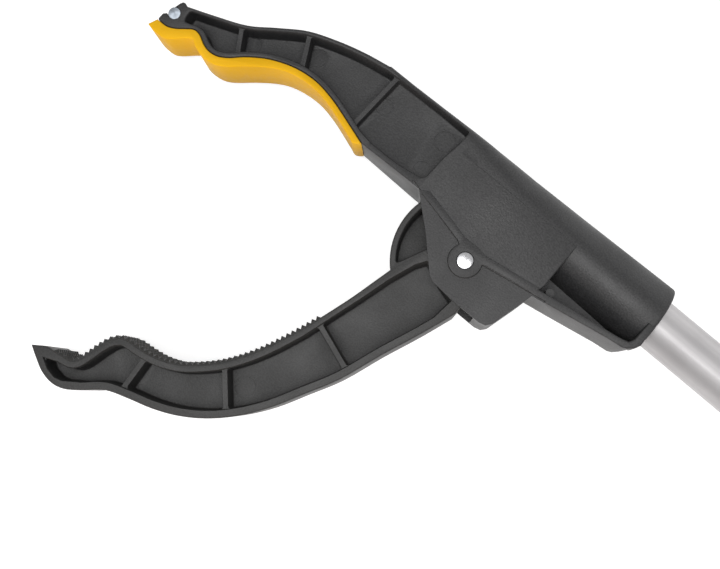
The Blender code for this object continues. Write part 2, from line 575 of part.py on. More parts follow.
def make_spring():
    start = WASHER_X + 1.5 + GAP + SPRING_WIRE_R
    end = REAR_GUIDE - GAP - SPRING_WIRE_R
    per_turn = 10
    count = SPRING_TURNS * per_turn
    curve = bpy.data.curves.new("return_spring", "CURVE")
    curve.dimensions = "3D"
    curve.bevel_depth = SPRING_WIRE_R * MM
    curve.bevel_resolution = 1
    curve.use_fill_caps = True
    spline = curve.splines.new("POLY")
    spline.points.add(count)
    for i, point in enumerate(spline.points):
        angle = math.tau * i / per_turn
        x = start + (end - start) * i / count
        point.co = (x * MM, SPRING_R * math.cos(angle) * MM, (MID + SPRING_R * math.sin(angle)) * MM, 1.0)
    spring = bpy.data.objects.new("return_spring", curve)
    parts.objects.link(spring)
    curve.materials.append(material("spring_steel", STEEL, 0.3, 1.0))


# ---------------------------------------------------------------- handle

def make_handle():
    outline = smooth(HANDLE_TOP) + HANDLE_UNDER
    hollow_barrel = [(416.5, 10.8), (434.0, 14.9), (452.0, 18.0), (470.0, 17.2), (484.0, 12.2), (494.0, 3.6),
                     (499.6, -8.0), (504.0, -22.0), (510.6, -42.0), (517.0, -64.0), (523.0, -88.0),
                     (526.6, -107.0), (524.0, -112.6), (510.0, -115.4), (503.6, -112.6), (500.4, -104.0),
                     (496.6, -86.0), (492.6, -66.0), (488.4, -50.0), (483.0, -36.0), (478.2, -22.0),
                     (474.6, -16.0), (474.6, -30.0), (430.6, -30.0), (430.6, -16.4), (416.5, -14.4)]
    screw_side = {"handle_shell_left": False, "handle_shell_right": True}
    for name, has_heads in screw_side.items():
        shell = plate(name + "_block", outline, 0.0, 2 * MID)
        bevel(shell, HANDLE_ROUND, 2)
        room = plate(name + "_room", hollow_barrel, HANDLE_WALL, 2 * MID - HANDLE_WALL)
        for i, place in enumerate(SCREWS):
            cut(room, rod(f"{name}_boss_{i + 1}", place, 4.2, 0, 2 * MID, sides=16))
        for i, (low, high) in enumerate(((0.0, 9.0 - GAP), (2 * MID - 9.0 + GAP, 2 * MID))):
            cut(room, rod(f"{name}_hub_{i + 1}", TRIGGER_PIVOT, 5.4, low, high, sides=20))
        cut(shell, room)
        cut(shell, rod(name + "_tube_bore", (0.0, MID), TUBE_R + GAP, 380, TUBE_REAR + 5, "X", 40))
        cut(shell, rod(name + "_pivot", TRIGGER_PIVOT, 2.5 + GAP, MID - 10.2, MID + 10.2, sides=20))
        cut(shell, rod(name + "_tube_pin", TUBE_PIN, 1.8, MID - 10.7, MID + 10.7, sides=14))
        for i, place in enumerate(SCREWS):
            cut(shell, rod(f"{name}_screw_{i + 1}", place, 1.8, 1.0, 17.0, sides=14))
            if has_heads:
                cut(shell, rod(f"{name}_head_{i + 1}", place, 3.4, -1.0, 3.2, sides=20))
        slab = (-5.0, MID - SPLIT) if has_heads else (MID + SPLIT, 2 * MID + 5)
        keep(shell, plate(name + "_half", box_outline(370, -140, 560, 40), *slab))
        finish(shell, name, material(name + "_plastic", BLACK, 0.55))

    steel = material("handle_screw_steel", STEEL, 0.3, 1.0)
    for i, place in enumerate(SCREWS):
        screw = rod(f"head_{i + 1}", place, 3.0, 0.9, 2.9, sides=20)
        join(screw, rod(f"shank_{i + 1}", place, 1.5, 2.5, 16.6, sides=12))
        cut(screw, cross_recess(f"cross_{i + 1}", place, 1.9))
        finish(screw, f"handle_screw_{i + 1}", steel)


def make_trigger():
    blade = smooth(TRIGGER_FRONT) + smooth(TRIGGER_BACK)
    trigger = plate("finger_blade", blade, MID - 9.0, MID + 9.0)
    bevel(trigger, 1.2, 2, 70)
    join(trigger, plate("arm", box_outline(-5.3, -40.0, 5.3, -2.0), MID - HALF_TAIL, MID + HALF_TAIL))
    join(trigger, rod("hub", (0.0, 0.0), 6.4, MID - 2.8, MID + 2.8, sides=28))
    path = [(0.0, -TRIGGER_ARM + 0.6), (0.0, -TRIGGER_ARM - 2.2)]
    cut(trigger, plate("yoke_slot", slot(*path, CLEVIS_PIN_R + 0.45), 0, 2 * MID))
    cut(trigger, rod("pivot_hole", (0.0, 0.0), 2.5 + GAP, 0, 2 * MID, sides=20))
    finish(trigger, "trigger", material("trigger_plastic", DARK, 0.5), TRIGGER_PIVOT, -TRIGGER_SWING / 2)
    pin = rod("trigger_axle", TRIGGER_PIVOT, 2.5, MID - 9.8, MID + 9.8, sides=20)
    finish(pin, "trigger_pin", material("trigger_pin_steel", STEEL, 0.3, 1.0))


# ---------------------------------------------------------------- assembly

for old in list(bpy.data.objects):
    bpy.data.objects.remove(old)
parts = collection("reacher_grabber")
cutters = collection("cutters")
make_head()
make_insert()
make_small_head_parts()
make_moving_jaw()
make_tube()
make_rod()
make_spring()
make_handle()
make_trigger()
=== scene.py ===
import json
import math

import bmesh
import bpy
from mathutils import Matrix, Vector


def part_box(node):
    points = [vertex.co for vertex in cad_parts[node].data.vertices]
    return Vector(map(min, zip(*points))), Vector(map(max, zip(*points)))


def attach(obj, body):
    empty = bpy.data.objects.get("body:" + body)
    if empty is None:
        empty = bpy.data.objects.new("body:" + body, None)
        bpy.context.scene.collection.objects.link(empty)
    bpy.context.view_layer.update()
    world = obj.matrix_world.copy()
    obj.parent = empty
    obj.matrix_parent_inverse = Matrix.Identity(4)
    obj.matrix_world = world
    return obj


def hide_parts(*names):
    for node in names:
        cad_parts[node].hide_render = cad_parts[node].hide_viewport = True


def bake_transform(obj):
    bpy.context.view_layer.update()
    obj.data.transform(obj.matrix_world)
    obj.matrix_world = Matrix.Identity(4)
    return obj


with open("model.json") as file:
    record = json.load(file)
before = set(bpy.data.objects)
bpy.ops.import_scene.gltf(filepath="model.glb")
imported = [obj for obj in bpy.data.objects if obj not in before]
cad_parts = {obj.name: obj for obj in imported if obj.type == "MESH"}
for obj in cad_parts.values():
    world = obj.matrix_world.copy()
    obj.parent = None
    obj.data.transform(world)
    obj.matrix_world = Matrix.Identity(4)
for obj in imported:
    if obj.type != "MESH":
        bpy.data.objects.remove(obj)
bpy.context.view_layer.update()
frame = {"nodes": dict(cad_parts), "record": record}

MM = 0.001
JOINTS = {joint["name"]: joint for joint in frame["record"]["behaviour"]["joints"]}
PIVOT = tuple(v / MM for v in JOINTS["jaw_close"]["pos_m"][:2])
TRIGGER_PIVOT = tuple(v / MM for v in JOINTS["trigger_pull"]["pos_m"][:2])
MID = (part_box("tube")[0].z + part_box("tube")[1].z) / 2 / MM
TUBE_R = (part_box("tube")[1].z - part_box("tube")[0].z) / 2 / MM
TUBE_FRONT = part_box("tube")[0].x / MM
TUBE_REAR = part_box("tube")[1].x / MM
HALF_JAW = (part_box("grip_insert")[1].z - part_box("grip_insert")[0].z) / 2 / MM
HALF_MOVING = (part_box("moving_jaw")[1].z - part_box("moving_jaw")[0].z) / 2 / MM
HALF_CHEEK = 11.75
HALF_COLLAR = 12.0
HALF_WEB = 1.1
HALF_DEEP_WEB = 4.3            # under the pocket next to the cheek
COLLAR_END = 55.3              # on the axis; the end leans away from the jaw's side
COLLAR_LEAN = 0.095
LEAN_START = 21.0
EDGE = 0.45                    # rounding of moulded edges
GAP = 0.3                      # clearance around the tube
FLANGE = 1.7                   # the fixed jaw's lower rim, seen from the side
BACK_RIM = (0.95, 1.6)         # its upper rim, at the tip and at the cheek
RIB_DROP = 0.9                 # the ribs' tops lie below the rims
CORNER_TURN = 28               # an outline that turns by this much has a corner there
BOSS_R = 5.2                   # the boss around the pivot pin
TOOTH_DEPTH = 0.85
TOOTH_PROUD = 0.3              # the drawn teeth reach past the jaw's nominal face
TOOTH_PITCH = 1.75
TEETH_ACROSS = 11

# Fixed jaw: its back from the finger at the tip to the collar, and its line with the grip insert
JAW_BACK = [(-119.6, -19.4), (-110.0, -15.7), (-100.5, -11.6), (-92.6, -6.0), (-84.5, -0.6),
            (-75.0, 3.1), (-66.0, 5.6), (-57.0, 7.3)]
JAW_SEAT = [(-123.9, -28.4), (-120.2, -28.3), (-117.4, -27.0), (-115.0, -25.1), (-112.6, -23.5),
            (-110.2, -23.6), (-107.0, -25.1), (-104.1, -25.7), (-101.0, -25.1), (-97.9, -23.1),
            (-93.8, -19.3), (-87.7, -15.2), (-80.0, -12.2), (-72.0, -11.2), (-64.0, -12.3),
            (-55.5, -14.7), (-48.0, -17.0)]
JAW_TIP = [(-123.9, -26.0), (-123.2, -25.3), (-122.3, -21.9), (-121.9, -20.2), (-121.4, -19.1),
           (-120.5, -18.8)]
INSERT_FACE = [(-125.2, -31.6), (-123.2, -32.0), (-120.7, -32.1), (-118.3, -31.8), (-116.3, -30.6),
               (-114.0, -28.5), (-112.2, -26.9), (-110.8, -26.2), (-109.0, -27.2), (-105.7, -28.3),
               (-102.4, -28.3), (-99.2, -27.5), (-96.0, -25.4), (-91.6, -21.6), (-86.0, -17.4),
               (-81.0, -14.9), (-75.0, -13.6), (-69.0, -13.5), (-62.0, -14.9), (-52.0, -18.1)]
# Collar: place along X, half height, half width and squareness of its section; then the rounding of its end
COLLAR = [(-57.3, 7.9, 8.55, 9.0), (-47.5, 8.1, 8.55, 8.0), (-36.0, 8.2, 10.3, 7.0), (-26.0, 8.4, 11.8, 6.0),
          (-14.0, 9.4, 11.65, 3.2), (0.3, 10.1, 11.5, 2.2), (20.6, 10.7, 11.5, 2.0),
          (COLLAR_END - 1.0, 11.55, HALF_COLLAR, 2.0)]
COLLAR += [(COLLAR_END - back, 11.55 - inwards, HALF_COLLAR - inwards, 2.0)
           for back, inwards in ((0.6, 0.05), (0.2, 0.3), (0.0, 0.8))]
# The keel under the collar, seen from the side: a flange that turns up into an end plate
KEEL = [(20.0, -20.0), (35.8, -17.0), (46.6, -14.9), (51.8, -14.2), (53.2, -13.5), (54.6, -12.1),
        (55.6, -10.2), (55.3, -3.3), (53.1, -3.3), (53.0, -8.4), (53.0, -9.8), (52.2, -11.5),
        (49.9, -12.2), (43.1, -13.4), (36.2, -14.5), (29.2, -15.6), (20.0, -17.4)]
CHEEK = [(-25.4, -16.4), (-20.1, -21.0), (-15.0, -25.2), (-7.2, -32.8), (-5.4, -34.5), (-3.2, -35.6),
         (4.0, -36.1), (15.0, -36.0), (17.2, -35.4), (18.5, -33.8), (21.3, -22.8), (22.9, -15.0),
         (22.6, 0.5), (-25.4, 0.3)]
# Moving jaw: its toothed face from the tip, the smooth stretch up to the lobe, and its outer side
JAW_FACE = [(-83.6, -130.2), (-78.4, -126.6), (-74.3, -125.6), (-70.8, -124.6), (-69.4, -121.0),
            (-68.3, -116.4), (-66.6, -112.2), (-63.4, -109.3), (-58.0, -108.4), (-52.6, -107.3),
            (-48.0, -105.4), (-43.6, -102.6), (-37.4, -96.5), (-32.8, -90.0), (-28.9, -82.5),
            (-25.0, -72.6), (-22.3, -64.7)]
JAW_FACE_SMOOTH = [(-21.0, -63.0), (-18.7, -55.0), (-16.9, -47.5), (-15.4, -41.2)]
JAW_OUTSIDE = [(-83.6, -130.2), (-79.4, -132.4), (-75.5, -134.1), (-71.2, -134.7), (-67.0, -133.6),
               (-62.6, -130.4), (-59.0, -127.0), (-55.6, -124.7), (-49.0, -122.3), (-42.2, -120.0),
               (-35.0, -116.5), (-28.0, -111.5), (-21.5, -104.9), (-15.5, -96.4), (-10.4, -86.6),
               (-5.1, -76.0), (-0.5, -62.6), (4.3, -50.0), (8.1, -38.8)]
LOBE_R = 22.7
# Handle: its outline from the top of the nose, over the back and down the grip, and the room inside it
HANDLE_TOP = [(388.0, 12.4), (410.0, 13.4), (432.0, 17.4), (452.0, 20.6), (470.0, 19.8), (487.0, 14.0),
              (498.0, 4.6), (503.0, -6.0), (507.0, -20.0), (513.5, -40.0), (520.0, -62.0),
              (526.0, -86.0), (530.0, -106.0), (528.0, -113.5), (520.0, -117.4), (508.0, -118.4),
              (500.6, -115.2), (497.4, -108.0), (494.0, -92.0), (490.0, -68.0), (485.6, -50.0),
              (480.4, -36.0), (475.2, -24.0)]
HANDLE_UNDER = [(431.0, -19.4), (420.0, -18.0), (402.0, -14.4), (388.0, -12.4)]
HANDLE_ROOM = [(416.5, 10.8), (434.0, 14.9), (452.0, 18.0), (470.0, 17.2), (484.0, 12.2), (494.0, 3.6),
               (499.6, -8.0), (504.0, -22.0), (510.6, -42.0), (517.0, -64.0), (523.0, -88.0),
               (526.6, -107.0), (524.0, -112.6), (510.0, -115.4), (503.6, -112.6), (500.4, -104.0),
               (496.6, -86.0), (492.6, -66.0), (488.4, -50.0), (483.0, -36.0), (478.2, -22.0),
               (474.6, -16.0), (474.6, -30.0), (430.6, -30.0), (430.6, -16.4), (416.5, -14.4)]
HANDLE_WALL = 2.4
HANDLE_ROUND = 4.6
SPLIT = 0.15                   # half the gap between the two shells
SCREWS = [(424.0, -12.4), (480.0, 8.0), (502.0, -48.0), (512.0, -98.0)]
COLLAR_SCREW = (42.0, 0.0)
TUBE_PIN = (396.0, 4.6)
# Return spring: the middles of its end turns, its coil's radius and its wire's radius
SPRING_R = 4.2
SPRING_WIRE = 0.55
SPRING_TURNS = 11
SPRING_CLEAR = 0.01
SPRING = (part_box("return_spring")[0].x / MM + SPRING_WIRE + SPRING_CLEAR,
          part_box("return_spring")[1].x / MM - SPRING_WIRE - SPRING_CLEAR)
# The trigger about its pivot, at the middle of its swing: front edge downwards, then back edge upwards
TRIGGER_FRONT = [(-5.6, -32.0), (-7.6, -37.0), (-12.6, -40.6), (-13.6, -43.4), (-10.0, -48.0),
                 (-6.4, -56.0), (-5.0, -66.0), (-5.8, -78.0), (-9.6, -90.0), (-15.6, -99.0)]
TRIGGER_BACK = [(-13.4, -103.6), (-7.0, -104.0), (1.4, -98.0), (6.0, -86.0), (7.8, -72.0),
                (7.8, -56.0), (6.8, -42.0), (5.6, -32.0)]
TRIGGER_ARM = 26.0             # from its pivot to the yoke's pin
HALF_TRIGGER = 9.0
TRIGGER_LEAN = -JOINTS["trigger_pull"]["range_deg"][1] / 2


# ---------------------------------------------------------------- outlines

def smooth(points, steps=4):
    """Points on a smooth curve that passes through the given ones."""
    ends = [2 * Vector(points[0]) - Vector(points[1])]
    ends += [Vector(p) for p in points]
    ends += [2 * Vector(points[-1]) - Vector(points[-2])]
    result = []
    for i in range(1, len(ends) - 2):
        a, b, c, d = ends[i - 1:i + 3]
        for k in range(steps):
            t = k / steps
            result.append(0.5 * (2 * b + (c - a) * t + (2 * a - 5 * b + 4 * c - d) * t ** 2
                                 + (3 * b - a - 3 * c + d) * t ** 3))
    result.append(ends[-2])
    return [tuple(p) for p in result]


def offset(path, distance, end=None):
    """A path moved to its left, or right for a distance below 0, that may change evenly towards the end."""
    moved = []
    far = distance if end is None else end
    for i, point in enumerate(path):
        along = (Vector(path[min(i + 1, len(path) - 1)]) - Vector(path[max(i - 1, 0)])).normalized()
        here = distance + (far - distance) * i / (len(path) - 1)
        moved.append((point[0] - along.y * here, point[1] + along.x * here))
    return moved


def arc(centre, radius, start, end, steps):
    """Points along an arc between two angles."""
    angles = [math.radians(start + (end - start) * i / steps) for i in range(steps + 1)]
    return [(centre[0] + radius * math.cos(a), centre[1] + radius * math.sin(a)) for a in angles]


def area(outline):
    return sum(a[0] * b[1] - b[0] * a[1] for a, b in zip(outline, outline[1:] + outline[:1])) / 2


def grown(outline, distance):
    """An anticlockwise outline with every side moved outwards."""
    result = []
    for i, here in enumerate(outline):
        before = Vector(here) - Vector(outline[i - 1])
        after = Vector(outline[(i + 1) % len(outline)]) - Vector(here)
        lean = Vector((before.y, -before.x)).normalized() + Vector((after.y, -after.x)).normalized()
        lean *= 2 * distance / max(lean.length_squared, 0.8)
        result.append((here[0] + lean.x, here[1] + lean.y))
    return result


def bend(outline, i):
    """How far the closed outline turns at this point."""
    here = Vector(outline[i])
    back = Vector(outline[i - 1]) - here
    on = Vector(outline[(i + 1) % len(outline)]) - here
    return 180 - math.degrees(back.angle(on))


def filleted(outline, radius, corners, steps=4):
    """The closed outline with these corners rounded, given by their numbers."""
    result = []
    for i, here in enumerate(outline):
        if i not in corners:
            result.append(here)
            continue
        half_turn = math.radians(bend(outline, i) / 2)
        here = Vector(here)
        back = Vector(outline[i - 1]) - here
        on = Vector(outline[(i + 1) % len(outline)]) - here
        reach = min(radius * math.tan(half_turn), 0.45 * back.length, 0.45 * on.length)
        start = here + back.normalized() * reach
        end = here + on.normalized() * reach
        for k in range(steps + 1):
            t = k / steps
            result.append(tuple(start.lerp(here, t).lerp(here.lerp(end, t), t)))
    return result


def thinned(outline, reach=1.3):
    """The closed outline without the points that crowd its corners."""
    corners = [p for i, p in enumerate(outline) if bend(outline, i) >= CORNER_TURN]
    return [p for i, p in enumerate(outline)
            if bend(outline, i) >= CORNER_TURN or all(math.dist(p, corner) > reach for corner in corners)]


def clipped(outline, point, direction):
    """What is left of the outline on the left of a line."""
    normal = Vector((-direction[1], direction[0])).normalized()
    result = []
    for i, here in enumerate(outline):
        here = Vector(here)
        last = Vector(outline[i - 1])
        side = (here - Vector(point)) @ normal
        side_before = (last - Vector(point)) @ normal
        if (side > 0) != (side_before > 0):
            result.append(tuple(last.lerp(here, side_before / (side_before - side))))
        if side > 0:
            result.append(tuple(here))
    return result


# ---------------------------------------------------------------- solids

tools = bpy.data.collections.new("tools")
bpy.context.scene.collection.children.link(tools)


def solid(name, shape):
    """A bmesh in millimetres, with its faces turned outwards, as an object."""
    bmesh.ops.scale(shape, vec=(MM, MM, MM), verts=shape.verts)
    bmesh.ops.recalc_face_normals(shape, faces=shape.faces)
    mesh = bpy.data.meshes.new(name)
    shape.to_mesh(mesh)
    shape.free()
    made = bpy.data.objects.new(name, mesh)
    tools.objects.link(made)
    return made


def stack(name, loops, flat=True):
    """A solid through closed loops of points, one above the other."""
    shape = bmesh.new()
    rings = [[shape.verts.new(p) for p in loop] for loop in loops]
    count = len(rings[0])
    for low, high in zip(rings, rings[1:]):
        for i in range(count):
            j = (i + 1) % count
            shape.faces.new((low[i], low[j], high[j], high[i]))
    shape.faces.new(rings[0])
    shape.faces.new(rings[-1])
    if not flat:
        bmesh.ops.triangulate(shape, faces=shape.faces)
    return solid(name, shape)


def profiled(name, outline, rings):
    """An upright solid whose outline grows by each ring's amount at that ring's height."""
    if area(outline) < 0:
        outline = outline[::-1]
    return stack(name, [[(x, y, z) for x, y in grown(outline, grow)] for z, grow in rings])


def plate(name, outline, low, high, edge=EDGE, steps=3):
    """A plate with rounded edges, or with sharp ones if edge is 0."""
    if not edge:
        return profiled(name, outline, [(low, 0.0), (high, 0.0)])
    turns = [math.pi / 2 * i / steps for i in range(steps + 1)]
    quarter = [(1 - math.cos(a), 1 - math.sin(a)) for a in turns]
    rings = [(low + edge * up, -edge * inwards) for up, inwards in quarter]
    rings += [(high - edge * up, -edge * inwards) for up, inwards in quarter[::-1]]
    return profiled(name, outline, rings)


def pocket(name, outline, side, rim, floor=HALF_WEB, edge=EDGE, fillet=0.5, sunk=False, steps=3):
    """A cutter for a pocket: a filleted floor, and walls that lean out a little and curl outwards at the rim.
    Rim gives the half width where the pocket opens. A sunk pocket opens into a shallower one."""
    corner = 0.9
    lean = 0.15
    if area(outline) < 0:
        outline = outline[::-1]
    outline = thinned(outline)
    rings = []
    for turn in [math.pi / 2 * i / steps for i in range(steps + 1)]:
        inwards, up = fillet * (1 - math.sin(turn)), fillet * (1 - math.cos(turn))
        rings.append((-lean - inwards, lambda x, up=up: floor + up))
    for turn in [math.pi / 2 * i / steps for i in range(steps + 1)]:
        outwards, down = edge * (1 - math.cos(turn)), edge * (1 - math.sin(turn))
        rings.append((outwards, lambda x, down=down: rim(x) - down + 0.02))
    if sunk:
        rings.append((edge, lambda x: rim(x) + 0.15))
    else:
        rings.append((edge + 0.7, lambda x: rim(x) + 0.8))
    loops = []
    corners = [i for i in range(len(outline)) if bend(outline, i) >= CORNER_TURN]
    for grow, height in rings:
        loop = filleted(grown(outline, grow), max(corner + grow, 0.2), corners)
        loops.append([(x, y, MID + side * height(x)) for x, y in loop])
    return stack(name, loops, flat=False)


def lathe(name, centre, profile, axis="Z", sides=64):
    """A turned solid: profile gives (place along the axis, radius), closed by flat ends."""
    loops = []
    for along, radius in profile:
        ring = [(radius * math.cos(math.tau * i / sides), radius * math.sin(math.tau * i / sides))
                for i in range(sides)]
        if axis == "Z":
            loops.append([(centre[0] + a, centre[1] + b, along) for a, b in ring])
        else:
            loops.append([(along, centre[0] + a, centre[1] + b) for a, b in ring])
    return stack(name, loops)


def loft(name, sections, around=96, steps=6):
    """The collar's solid through superellipse sections, with more of them in between and its end leaning."""
    fine = []
    for a, b in zip(sections, sections[1:]):
        fine += [tuple(u + (v - u) * k / steps for u, v in zip(a, b)) for k in range(steps)]
    fine.append(sections[-1])
    loops = []
    for x, height, width, power in fine:
        loop = []
        for i in range(around):
            angle = math.tau * (i + 0.5) / around
            y = height * math.copysign(abs(math.cos(angle)) ** (2 / power), math.cos(angle))
            z = width * math.copysign(abs(math.sin(angle)) ** (2 / power), math.sin(angle))
            lean = COLLAR_LEAN * y * min(max((x - LEAN_START) / (COLLAR_END - LEAN_START), 0.0), 1.0)
            loop.append((x - lean, y, MID + z))
        loops.append(loop)
    return stack(name, loops)


def combine(target, others, operation):
    """Apply Booleans to the target and remove the other solids."""
    for other in others:
        modifier = target.modifiers.new(other.name, "BOOLEAN")
        modifier.operation = operation
        modifier.object = other
        modifier.solver = "EXACT"
    bpy.context.view_layer.update()
    evaluated = target.evaluated_get(bpy.context.evaluated_depsgraph_get())
    mesh = bpy.data.meshes.new_from_object(evaluated)
    target.modifiers.clear()
    target.data = mesh
    for other in others:
        bpy.data.objects.remove(other)
    return target


def join(target, *others):
    return combine(target, others, "UNION")


def cut(target, *others):
    return combine(target, others, "DIFFERENCE")


def keep(target, *others):
    return combine(target, others, "INTERSECT")


def round_edges(target, width=EDGE, angle=50, segments=3):
    """Round the sharp edges of a simple solid."""
    shape = bmesh.new()
    shape.from_mesh(target.data)
    bmesh.ops.remove_doubles(shape, verts=shape.verts, dist=1e-6)
    sharp = [edge for edge in shape.edges
             if len(edge.link_faces) == 2 and edge.calc_face_angle() > math.radians(angle)]
    bmesh.ops.bevel(shape, geom=sharp, offset=width * MM, segments=segments, profile=0.5, affect="EDGES",
                    clamp_overlap=True)
    shape.to_mesh(target.data)
    shape.free()
    return target


def bring_out(piece):
    """Move a solid from the collection of tools to the scene."""
    tools.objects.unlink(piece)
    bpy.context.scene.collection.objects.link(piece)


def show(piece, name, body, look, nodes=(), sharp=34):
    """Give a finished piece its name, material and shading, and hang it on its body."""
    piece.name = name
    piece.data.name = name
    piece.data.materials.clear()
    piece.data.materials.append(look)
    piece.data.shade_smooth()
    piece.data.set_sharp_from_angle(angle=math.radians(sharp))
    bring_out(piece)
    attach(piece, body)
    if nodes:
        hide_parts(*nodes)
    return piece


# ---------------------------------------------------------------- materials

def new_material(name, colour, roughness, metallic=0.0):
    made = bpy.data.materials.new(name)
    made.use_nodes = True
    shader = made.node_tree.nodes["Principled BSDF"]
    shader.inputs["Base Color"].default_value = (*colour, 1.0)
    shader.inputs["Roughness"].default_value = roughness
    shader.inputs["Metallic"].default_value = metallic
    return made, made.node_tree, shader


def add(tree, kind, **settings):
    """A new node, with its properties and its input values by name."""
    node = tree.nodes.new(kind)
    for key, value in settings.items():
        if hasattr(node, key):
            setattr(node, key, value)
        else:
            node.inputs[key.replace("_", " ")].default_value = value
    return node


def noise(tree, scale, detail=2.0, stretch=(1.0, 1.0, 1.0)):
    """Noise in the part's own space; scale is in cycles per metre."""
    place = add(tree, "ShaderNodeTexCoord")
    mapping = add(tree, "ShaderNodeMapping", Scale=stretch)
    texture = add(tree, "ShaderNodeTexNoise", Scale=scale, Detail=detail)
    tree.links.new(place.outputs["Object"], mapping.inputs["Vector"])
    tree.links.new(mapping.outputs["Vector"], texture.inputs["Vector"])
    return texture.outputs["Fac"]


def mixed_colour(tree, factor, low, high, start=0.35, end=0.65):
    ramp = add(tree, "ShaderNodeValToRGB")
    ramp.color_ramp.elements[0].position = start
    ramp.color_ramp.elements[0].color = (*low, 1.0)
    ramp.color_ramp.elements[1].position = end
    ramp.color_ramp.elements[1].color = (*high, 1.0)
    tree.links.new(factor, ramp.inputs["Fac"])
    return ramp.outputs["Color"]


def ranged(tree, factor, low, high):
    spread = add(tree, "ShaderNodeMapRange", From_Min=0.3, From_Max=0.7, To_Min=low, To_Max=high)
    tree.links.new(factor, spread.inputs["Value"])
    return spread.outputs["Result"]


def bumped(tree, shader, heights):
    """Bump from several textures: (height, strength, distance in millimetres)."""
    normal = None
    for height, strength, depth in heights:
        bump = add(tree, "ShaderNodeBump", Strength=strength, Distance=depth * MM)
        tree.links.new(height, bump.inputs["Height"])
        if normal is not None:
            tree.links.new(normal, bump.inputs["Normal"])
        normal = bump.outputs["Normal"]
    tree.links.new(normal, shader.inputs["Normal"])


def moulded_plastic(name, dark, light, roughness, grain=0.09):
    made, tree, shader = new_material(name, dark, roughness)
    speckle = noise(tree, 2000.0, 2.0)
    tree.links.new(mixed_colour(tree, speckle, dark, light), shader.inputs["Base Color"])
    tree.links.new(ranged(tree, noise(tree, 60.0, 4.0), roughness - 0.06, roughness + 0.07),
                   shader.inputs["Roughness"])
    bumped(tree, shader, [(speckle, 0.8, grain), (noise(tree, 160.0, 3.0), 0.25, 0.05)])
    return made


def rubber(name, dark, light):
    made, tree, shader = new_material(name, light, 0.45)
    tree.links.new(mixed_colour(tree, noise(tree, 60.0, 4.0), dark, light), shader.inputs["Base Color"])
    tree.links.new(ranged(tree, noise(tree, 900.0, 3.0), 0.38, 0.55), shader.inputs["Roughness"])
    bumped(tree, shader, [(noise(tree, 1500.0, 3.0), 0.35, 0.05), (noise(tree, 120.0, 2.0), 0.3, 0.1)])
    shader.inputs["Specular IOR Level"].default_value = 0.06
    shader.inputs["Subsurface Weight"].default_value = 0.06
    shader.inputs["Subsurface Radius"].default_value = (0.002, 0.0012, 0.0004)
    return made


def drawn_aluminium(name):
    made, tree, shader = new_material(name, (0.6, 0.6, 0.61), 0.55, 0.92)
    lines = noise(tree, 900.0, 3.0, (0.02, 1.0, 1.0))
    clouds = noise(tree, 40.0, 3.0)
    colour = mixed_colour(tree, clouds, (0.48, 0.466, 0.47), (0.54, 0.526, 0.53))
    tree.links.new(colour, shader.inputs["Base Color"])
    tree.links.new(ranged(tree, lines, 0.5, 0.62), shader.inputs["Roughness"])
    bumped(tree, shader, [(lines, 0.2, 0.02), (noise(tree, 2200.0, 2.0), 0.2, 0.01)])
    return made


def turned_steel(name, colour=(0.78, 0.78, 0.8), roughness=0.25):
    made, tree, shader = new_material(name, colour, roughness, 1.0)
    marks = noise(tree, 1400.0, 3.0)
    tree.links.new(mixed_colour(tree, marks, [c * 0.9 for c in colour], colour), shader.inputs["Base Color"])
    tree.links.new(ranged(tree, marks, roughness - 0.06, roughness + 0.08), shader.inputs["Roughness"])
    shader.inputs["Anisotropic"].default_value = 0.7
    tangent = add(tree, "ShaderNodeTangent", direction_type="RADIAL", axis="Z")
    tree.links.new(tangent.outputs["Tangent"], shader.inputs["Tangent"])
    bumped(tree, shader, [(noise(tree, 3000.0, 2.0), 0.15, 0.01)])
    return made


def natural_plastic(name):
    made, tree, shader = new_material(name, (0.6, 0.6, 0.57), 0.42)
    tree.links.new(mixed_colour(tree, noise(tree, 90.0, 3.0), (0.56, 0.56, 0.53), (0.64, 0.64, 0.61)),
                   shader.inputs["Base Color"])
    bumped(tree, shader, [(noise(tree, 1800.0, 2.0), 0.3, 0.03)])
    return made


black = moulded_plastic("black_moulded", (0.021, 0.0207, 0.0215), (0.036, 0.0357, 0.0365), 0.5)
jaw_black = moulded_plastic("jaw_moulded", (0.021, 0.0205, 0.02), (0.035, 0.0345, 0.034), 0.52)
yellow = rubber("yellow_rubber", (0.74, 0.405, 0.01), (0.82, 0.455, 0.015))
aluminium = drawn_aluminium("drawn_aluminium")
steel = turned_steel("turned_steel")
nickel = turned_steel("magnet_nickel", (0.62, 0.68, 0.75), 0.6)
acetal = natural_plastic("natural_acetal")


# ---------------------------------------------------------------- head

def half_width(x):
    """Half width of the fixed jaw, which widens towards the cheeks."""
    share = min(max((x + 46.5) / 20.5, 0.0), 1.0)
    return HALF_JAW + (HALF_CHEEK - HALF_JAW) * share


def pocket_region():
    """The hollow between the fixed jaw's rims, from its tip block to the cheek."""
    back = smooth(JAW_BACK, 6)[2:] + [(-50.0, 7.75), (-45.0, 7.9), (-40.0, 8.1), (-36.0, 8.2), (-30.0, 8.2),
                                      (-24.4, 8.2)]
    upper = offset(back, -BACK_RIM[0], -BACK_RIM[1])
    corner = [(-117.6, -19.7), (-117.4, -22.0), (-116.8, -23.6), (-114.4, -22.8), (-113.0, -22.1),
              (-111.6, -21.9)]
    lower = [p for p in offset(smooth(JAW_SEAT, 6), FLANGE) if -110.5 < p[0] < -50.0]
    right = [(-46.0, -15.0), (-38.5, -15.0), (-33.8, -14.8), (-26.8, -13.8), (-25.7, -12.6), (-25.6, -8.0),
             (-25.4, -4.0), (-24.9, 0.0), (-24.5, 4.0)]
    return upper[::-1] + corner + lower + right


